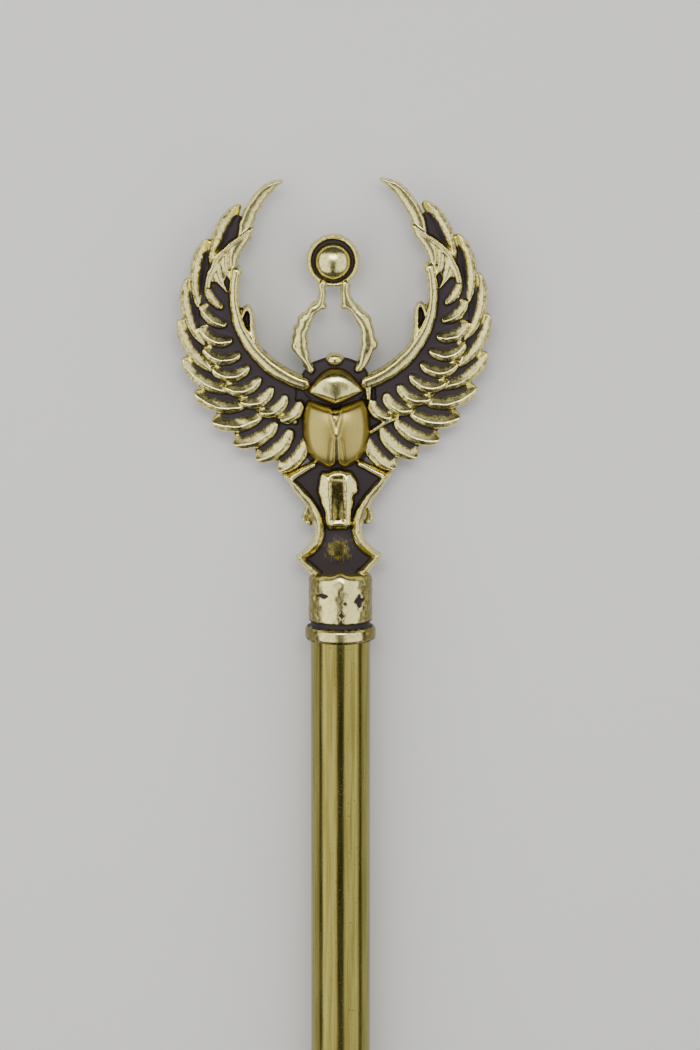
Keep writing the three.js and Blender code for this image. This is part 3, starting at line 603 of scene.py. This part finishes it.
def lay_disc(body):
    """The disc is turned: a level rim, a sunk field and a dome in it."""
    out = np.hypot(body.x, body.y - DISC_Y)
    rim_share = (out - DISC_RADIUS + DISC_RIM / 2) / (DISC_RIM / 2)
    rim_level = 0.2 + 1.5 * np.sqrt(np.clip(1 - rim_share**2, 0, 1))
    level = np.where(out > DISC_RADIUS - DISC_RIM, rim_level, 0.2)
    body.lay(DISC_RADIUS - out, level, soft_step(-0.2, 0.2, out - DISC_RADIUS + DISC_RIM))
    lay_dome(body, (0, DISC_Y - 0.3), 6.0, 6.0, 0.2, 4.2)


def lay_legs(body):
    """Each leg is a rough bar that widens below its knee, with blunt knobs on the outside."""
    path = curve_through([
        (3.9, 119.4), (4.2, 113.7), (7.2, 110.3), (10.3, 105.7), (11.3, 99.9), (10.0, 95.2), (8.1, 91.3)])
    lay_bar(body, path, (3.2, 3.4, 3.8, 4.9, 5.1, 4.2, 3.3), 0.9, 2.5, lean=(0.1, 0.1), rough=0.3)
    lay_dome(body, (9.2, 108.9), 2.0, 1.5, 0.8, 2.3)
    lay_dome(body, (12.9, 99.2), 1.6, 2.2, 0.8, 2.2)
    lay_dome(body, (3.4, 112.0), 1.3, 1.4, 0.8, 2.2)


def lay_neck(body):
    """A sunk panel with a ridged bar on each side, bent in at the waist and out again to a corner, with a
    small thorn outside the waist."""
    x, y = body.x, body.y
    side = curve_through([
        (17.0, 55.6), (15.0, 53.3), (12.4, 50.2), (9.8, 47.0), (7.8, 43.6), (6.7, 40.4), (6.2, 36.8),
        (7.0, 33.6), (9.2, 30.6), (13.0, 27.9)])
    brace = [(13.0, 27.9), (7.4, NECK_FOOT_Y)]
    wide = np.interp(y, [NECK_FOOT_Y, 27.9], [7.4, 13.0])
    wide = np.where(y > 27.9, np.interp(y, side[::-1, 1], side[::-1, 0]), wide)
    wide = np.where(y > 55.6, 17.0 - (y - 55.6) * 1.9, wide)
    panel = np.minimum((wide - x) * 0.8, np.minimum(y - NECK_FOOT_Y + 3, 62 - y))
    body.lay(panel, np.full(x.shape, -0.4), 0.0)
    lean = (0.4, 0.4, 0.4, 0.3, -0.3, -0.5, -0.5)
    lay_bar(body, side, (2.4, 3.4, 3.6, 3.8, 3.8, 3.6, 2.6), 0.8, 2.9, lean=lean, ridged=True)
    lay_bar(body, brace, (2.8, 3.8), 0.6, 2.9, lean=(0.2, 0.2), ridged=True)
    lay_bar(body, [(16.0, 55.0), (7.8, 59.6)], (2.8, 2.4), 0.4, 2.3, lean=(-0.3, -0.3))
    lay_dome(body, (9.3, 41.6), 2.0, 2.9, -1.0, 0.9, 0.42)
    thorn = curve_through([(9.9, 45.0), (11.2, 42.6), (11.4, 41.0), (9.6, 39.6)])
    lay_bar(body, thorn, (1.0, 1.4, 1.2), -0.8, 1.4, rub=0.9)


def lay_tail(body):
    """The tail is a tapered cushion with rough bright sides, a broad smooth channel and a lip at its end;
    the band below the lip is darker, as painted shadow. Below the tail lies a low knob that the patina
    covers in part."""
    x, y = body.x, body.y
    outline = curve_through([
        (3.4, 37.4), (4.1, 39.6), (4.5, 43.0), (5.2, 46.5), (6.5, 50.0), (6.5, 53.0), (5.4, 55.6),
        (4.3, 57.6)])
    half = np.interp(y, outline[:, 1], outline[:, 0]) + 0.3 * body.uneven
    top = 57.6 - 0.03 * x**2 + 0.25 * body.uneven
    inside = np.minimum(half - x, np.minimum(y - 37.4, top - y))
    channel = soft_step(3.0, 1.8, x) * soft_step(39.8, 41.2, y) * soft_step(56.3, 54.7, y)
    lip = line_glow(y - 39.4, 0.5) - 0.8 * line_glow(y - 38.5, 0.35)
    level = 1.0 + 2.6 * round_off(inside / 5.5) - 0.5 * channel + 0.3 * lip
    # painted shadow: the band below the lip is darker
    rub = 1 - 0.45 * channel - 0.35 * soft_step(39.2, 38.4, y)
    body.lay(inside, level, np.clip(rub, 0, 1), 0.3 * channel)
    out = np.hypot(x / 6.0, (y - 30.4) / 5.6)
    swell = np.exp(-1.8 * out**2)
    body.lay((1 - out) * 5.6, 0.9 * swell - 0.54, 0.5 * np.clip(swell * 1.25, 0, 1))


body_relief = Relief((-20, 18), (20, 138), 7, folded=True)
lay_plate(body_relief)
lay_wing_cases(body_relief)
lay_shield(body_relief)
lay_dome(body_relief, (0, 94.5), 2.9, 2.2, 1.0, 3.2)
lay_disc(body_relief)
lay_legs(body_relief)
lay_neck(body_relief)
lay_tail(body_relief)
scarab = relief_object("scarab_and_neck", body_relief)
scarab.data.materials.append(gold_finish)
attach(scarab, "root")
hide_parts("winged_scarab_head")

# The collar
# The foot of the casting, turned smooth: a cup with a groove under it and a rounded ring that the tube's end
# sits in. The cup has a few chips and dents that show the dark metal.

TUBE_RADIUS = 10.0
TUBE_WALL = 1.0
FIT_GAP = 0.3
SOCKET_DEPTH = 4
SPIGOT_END_Y = -10
SPIGOT_CHAMFER = 0.8
RING_RADIUS = 11.85
CUP_RADIUS = 10.65
CUP_TOP_Y = 22.8
CUP_ROUND = 2.6
GROOVE_Y = 6.0
TURNED_POLISH = 0.42
CHIPS = [  # place across and along, half sizes and depth
    (6.3, 14.4, 1.6, 2.6, 0.7),
    (-5.9, 16.2, 2.4, 0.9, 0.3),
    (1.6, 13.8, 0.7, 0.7, 0.3),
    (0.4, 9.9, 1.0, 1.3, 0.25),
    (0.2, 7.4, 0.7, 1.4, 0.2),
]


def turned(name, profile, steps, dent=None):
    """A closed surface of revolution about the shaft's axis. The profile is a list of radius and place
    along the shaft, from end to end or closed on itself. The dent function gives, for every point, a depth
    that is taken off the radius, the rub, which also carries painted shade, and a lift along the shaft."""
    profile = np.array(profile, float)
    around = np.linspace(0, 2 * math.pi, steps, endpoint=False)
    radius = np.repeat(profile[:, 0][:, None], steps, 1)
    along = np.repeat(profile[:, 1][:, None], steps, 1)
    turn = np.repeat(around[None, :], len(profile), 0)
    rub = np.ones(radius.shape)
    if dent:
        depth, rub, lift = dent(turn, along, radius)
        radius = radius - depth
        along = along + lift
    floor = -axis_height / MM
    points = np.stack([
        radius * np.sin(turn), along, np.maximum(radius * np.cos(turn), floor)], -1).reshape(-1, 3)
    points = points * MM + np.array([0, -RING_HEIGHT / 2 * MM, axis_height])
    rows = np.arange(len(profile) - 1)[:, None] * steps
    first = rows + np.arange(steps)[None, :]
    second = rows + (np.arange(steps)[None, :] + 1) % steps
    faces = np.stack([first, second, second + steps, first + steps], -1).reshape(-1, 4)
    mesh = bpy.data.meshes.new(name)
    mesh.from_pydata(points, [], faces.tolist())
    keep_values(mesh, rub=rub, polish=np.full(rub.shape, TURNED_POLISH))
    work = bmesh.new()
    work.from_mesh(mesh)
    bmesh.ops.remove_doubles(work, verts=work.verts, dist=1e-6)
    bmesh.ops.recalc_face_normals(work, faces=work.faces)
    work.to_mesh(mesh)
    work.free()
    mesh.shade_smooth()
    return add_object(name, mesh)


def rounded(centre, radius, first_turn, last_turn, steps=8):
    """Points of radius and place along the shaft on an arc of up to a quarter circle, in degrees."""
    turns = np.radians(np.linspace(first_turn, last_turn, steps))
    return [(centre[0] + radius * math.cos(t), centre[1] + radius * math.sin(t)) for t in turns]


def between(start, end, steps):
    """Evenly spaced points from start up to, but not including, end."""
    share = np.linspace(0, 1, steps, endpoint=False)[:, None]
    return [tuple(p) for p in np.array(start) + (np.array(end) - np.array(start)) * share]


def chipped(turn, along, radius):
    """Chips are shallow dents of uneven diamond outline that keep the patina. The groove and the ring's lower
    edge keep some too, and the cup's flanks are darkened as painted shade. A low peak stands on the middle
    of the cup's upper edge."""
    across = np.sin(turn) * radius
    front = np.cos(turn) > 0
    outside = radius > 9
    depth = np.zeros(turn.shape)
    rub = np.ones(turn.shape)
    on_cup = (along > 6.8) & (along < 20.6) & outside
    ragged = lumps(across, along, 1.6, 3)
    for x, y, wide, tall, deep in CHIPS:
        out = np.abs(across - x) / wide + np.abs(along - y) / tall + 0.16 * ragged
        pit = np.clip(1.15 - out, 0, 1) * front * on_cup
        depth += deep * np.minimum(pit * 2, 1)
        rub -= soft_step(0.05, 0.3, pit)
    depth += (0.05 * lumps(across, along, 5.0, 5) + 0.03 * lumps(across, along, 2.2, 6)) * on_cup
    groove = soft_step(1.2, 0.7, np.abs(along - GROOVE_Y) - 0.15 * ragged) * outside
    foot = soft_step(1.2, 0.4, along - 0.3 * ragged) * outside
    # painted shade: the cup's sides, which face sideways, are darker
    painted_flank_shade = soft_step(0.55, 0.85, np.abs(np.sin(turn)) - 0.06 * ragged) * outside
    cloud = np.exp(-((across - 0.2) ** 2 / 16 + (along - 17) ** 2 / 9)) * front * on_cup
    ring = soft_step(5.2, 4.6, along) * outside
    rub = np.clip(rub - 0.95 * groove - 0.4 * foot - 0.42 * painted_flank_shade - 0.15 * cloud - 0.08 * ring, 0, 1)
    peak = np.exp(-((turn / 0.22) ** 2)) + np.exp(-(((turn - 2 * math.pi) / 0.22) ** 2))
    lift = 1.1 * peak * soft_step(19.5, 22.6, along) * (radius > 6)
    return depth, rub, lift


spigot_radius = TUBE_RADIUS - TUBE_WALL - FIT_GAP
socket_radius = TUBE_RADIUS + FIT_GAP
collar_profile = [
    (0, CUP_TOP_Y), *between((0.5, CUP_TOP_Y), (CUP_RADIUS - CUP_ROUND, CUP_TOP_Y), 20),
    *rounded((CUP_RADIUS - CUP_ROUND, CUP_TOP_Y - CUP_ROUND), CUP_ROUND, 90, 0, 12),
    *between((CUP_RADIUS, CUP_TOP_Y - 2.8), (CUP_RADIUS, 7.2), 52),
    *rounded((CUP_RADIUS, 6.2), 0.75, 90, 180, 5), *rounded((CUP_RADIUS, 5.7), 0.75, 180, 260, 5),
    *rounded((RING_RADIUS - 1.3, 3.6), 1.3, 90, 0, 9), *rounded((RING_RADIUS - 1.6, 1.7), 1.6, 0, -90, 9),
    (socket_radius, 0.05), (socket_radius, SOCKET_DEPTH), (spigot_radius, SOCKET_DEPTH),
    (spigot_radius, SPIGOT_END_Y + SPIGOT_CHAMFER), (spigot_radius - SPIGOT_CHAMFER, SPIGOT_END_Y),
    (0, SPIGOT_END_Y),
]
collar = turned("collar", collar_profile, 220, chipped)
collar.data.materials.append(gold_finish)
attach(collar, "root")
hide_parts("winged_scarab_head")

# The tube
# A plain drawn tube of yellow metal, polished along its length and lightly streaked and specked. Its upper
# end sits in the ring.

DULL_BRASS = (0.21, 0.18, 0.042, 1)
BRIGHT_BRASS = (0.33, 0.285, 0.075, 1)
SPECK = (0.10, 0.07, 0.03, 1)


def satin_brass():
    """Brass with fine streaks along the tube, faint clouds of tarnish and small specks."""
    material, shader, place = start_material("satin brass")
    streaks = grain(place, 1.1, 4.0, 0.6, (1, 0.025, 1))
    clouds = grain(place, 0.12, 3.0, 0.6, (1, 0.5, 1))
    specks = grain(place, 1.6, 1.0, 0.4).stepped(0.70, 0.74)
    tone = (streaks * 0.9 + clouds * 0.1).stepped(0.36, 0.62)
    brass = tone.mixed(DULL_BRASS, BRIGHT_BRASS)
    link((specks * 0.7).mixed(brass, SPECK), shader, "Base Color")
    link(streaks * 0.12 + clouds * 0.04 + specks * 0.3 + 0.13, shader, "Roughness")
    shader.inputs["Metallic"].default_value = 1.0
    bump = place.node("ShaderNodeBump", Strength=0.12, Distance=0.03 * MM, Height=streaks)
    link(bump, shader, "Normal")
    return material


tube_low, tube_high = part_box("shaft_tube")
tube_top = tube_high[1] / MM + RING_HEIGHT / 2
tube_foot = tube_low[1] / MM + RING_HEIGHT / 2
bore = TUBE_RADIUS - TUBE_WALL
outer = between((TUBE_RADIUS, tube_foot), (TUBE_RADIUS, tube_top), 70)
inner = between((bore, tube_top), (bore, tube_foot), 12)
tube_profile = [*outer, (TUBE_RADIUS, tube_top), *inner, (bore, tube_foot), (TUBE_RADIUS, tube_foot)]
tube = turned("tube", tube_profile, 144)
tube.data.materials.append(satin_brass())
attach(tube, "root")
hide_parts("shaft_tube")

# The end cap
# A plain turned cap in the collar's metal: the same ring, and a low dome with a flat foot. A spigot on it is
# glued into the tube.

CAP_RING_HEIGHT = 6
CAP_DOME_HEIGHT = 7
CAP_FOOT_RADIUS = 6
CAP_SPIGOT_LENGTH = 12
CAP_ROUND = 1.2

cap_top = cap_high[1] / MM + RING_HEIGHT / 2
seat = cap_top - CAP_SPIGOT_LENGTH
ring_top = seat + SOCKET_DEPTH
ring_foot = ring_top - CAP_RING_HEIGHT
foot_y = ring_foot - CAP_DOME_HEIGHT


def patinated_ends(turn, along, radius):
    """The cap keeps its patina where the ring meets the tube and in the corner under the ring."""
    top_edge = soft_step(0.9, 0.2, ring_top - along)
    corner = soft_step(0.9, 0.2, np.abs(along - ring_foot))
    return np.zeros(turn.shape), np.clip(1 - 0.7 * corner - 0.3 * top_edge, 0, 1), 0.0


dome_radius = RING_RADIUS - 0.7
dome_bulge = dome_radius - CAP_FOOT_RADIUS
dome = [
    (CAP_FOOT_RADIUS + dome_bulge * math.sin(t), foot_y + CAP_DOME_HEIGHT * (1 - math.cos(t)))
    for t in np.linspace(0, math.pi / 2, 16)]
cap_profile = [
    (0, foot_y), *between((0.5, foot_y), (CAP_FOOT_RADIUS, foot_y), 6), *dome,
    *rounded((RING_RADIUS - CAP_ROUND, ring_foot + CAP_ROUND), CAP_ROUND, -90, 0, 8),
    *rounded((RING_RADIUS - CAP_ROUND, ring_top - CAP_ROUND), CAP_ROUND, 0, 90, 8),
    (socket_radius, ring_top - 0.05), (socket_radius, seat), (spigot_radius, seat),
    (spigot_radius, cap_top - SPIGOT_CHAMFER), (spigot_radius - SPIGOT_CHAMFER, cap_top), (0, cap_top),
]
cap = turned("end_cap_finished", cap_profile, 144, patinated_ends)
cap.data.materials.append(gold_finish)
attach(cap, "root")
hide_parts("end_cap")

# The studio
# A plain pale floor, long soft lights on both sides that leave a gap overhead, and a smaller one at the
# head's end.

floor_mesh = bpy.data.meshes.new("floor")
floor_mesh.from_pydata([(-4, -4, 0), (4, -4, 0), (4, 4, 0), (-4, 4, 0)], [], [(0, 1, 2, 3)])
floor = add_object("floor", floor_mesh)
floor_finish = bpy.data.materials.new("pale floor")
floor_finish.use_nodes = True
floor_shader = floor_finish.node_tree.nodes["Principled BSDF"]
floor_shader.inputs["Base Color"].default_value = (0.78, 0.77, 0.74, 1)
floor_shader.inputs["Roughness"].default_value = 0.8
floor_mesh.materials.append(floor_finish)


def soft_light(name, place, target, height, width, watts):
    """A rectangular light that faces its target, with its height in the upright plane through the target."""
    lamp = bpy.data.lights.new(name, "AREA")
    lamp.shape = "RECTANGLE"
    lamp.size = height
    lamp.size_y = width
    lamp.energy = watts
    holder = add_object(name, lamp)
    towards = Vector(target) - Vector(place)
    holder.matrix_world = Matrix.Translation(place) @ towards.to_track_quat("-Z", "X").to_matrix().to_4x4()


soft_light("left light", (-0.48, -0.05, 0.64), (0, -0.05, 0), 0.68, 1.5, 5.2)
soft_light("right light", (0.48, -0.05, 0.64), (0, -0.05, 0), 0.68, 1.5, 4.2)
soft_light("left low light", (-0.76, 0.02, 0.34), (0, 0.02, 0), 0.20, 1.2, 1.4)
soft_light("right low light", (0.76, 0.02, 0.34), (0, 0.02, 0), 0.20, 1.2, 1.2)
soft_light("head light", (0.02, 0.46, 0.92), (0, 0.06, 0), 0.26, 0.5, 4.0)

world = bpy.data.worlds.new("room")
bpy.context.scene.world = world
world.use_nodes = True
world.node_tree.nodes["Background"].inputs["Color"].default_value = (0.8, 0.82, 0.85, 1)
world.node_tree.nodes["Background"].inputs["Strength"].default_value = 0.08

# The camera
# Far off and nearly overhead, a little towards the head's end, as the curve of the ring's edge shows.

PHOTO_HEIGHT = 1050
PIXELS_PER_MM = 3
CAMERA_DISTANCE = 1.2
CAMERA_TILT = math.radians(9)
PHOTO_MIDDLE = (0.0032, 0.0363)
SENSOR = 36
aim = Vector((*PHOTO_MIDDLE, axis_height))
camera_data = bpy.data.cameras.new("camera")
camera_data.sensor_fit = "VERTICAL"
camera_data.sensor_height = SENSOR
camera_data.lens = SENSOR * CAMERA_DISTANCE / (PHOTO_HEIGHT / PIXELS_PER_MM * MM)
camera_data.clip_start = 0.05
camera = add_object("camera", camera_data)
offset = Vector((0, math.sin(CAMERA_TILT), math.cos(CAMERA_TILT))) * CAMERA_DISTANCE
camera.matrix_world = Matrix.Translation(aim + offset) @ Matrix.Rotation(-CAMERA_TILT, 4, "X")
bpy.context.scene.camera = camera

bpy.context.view_layer.update()
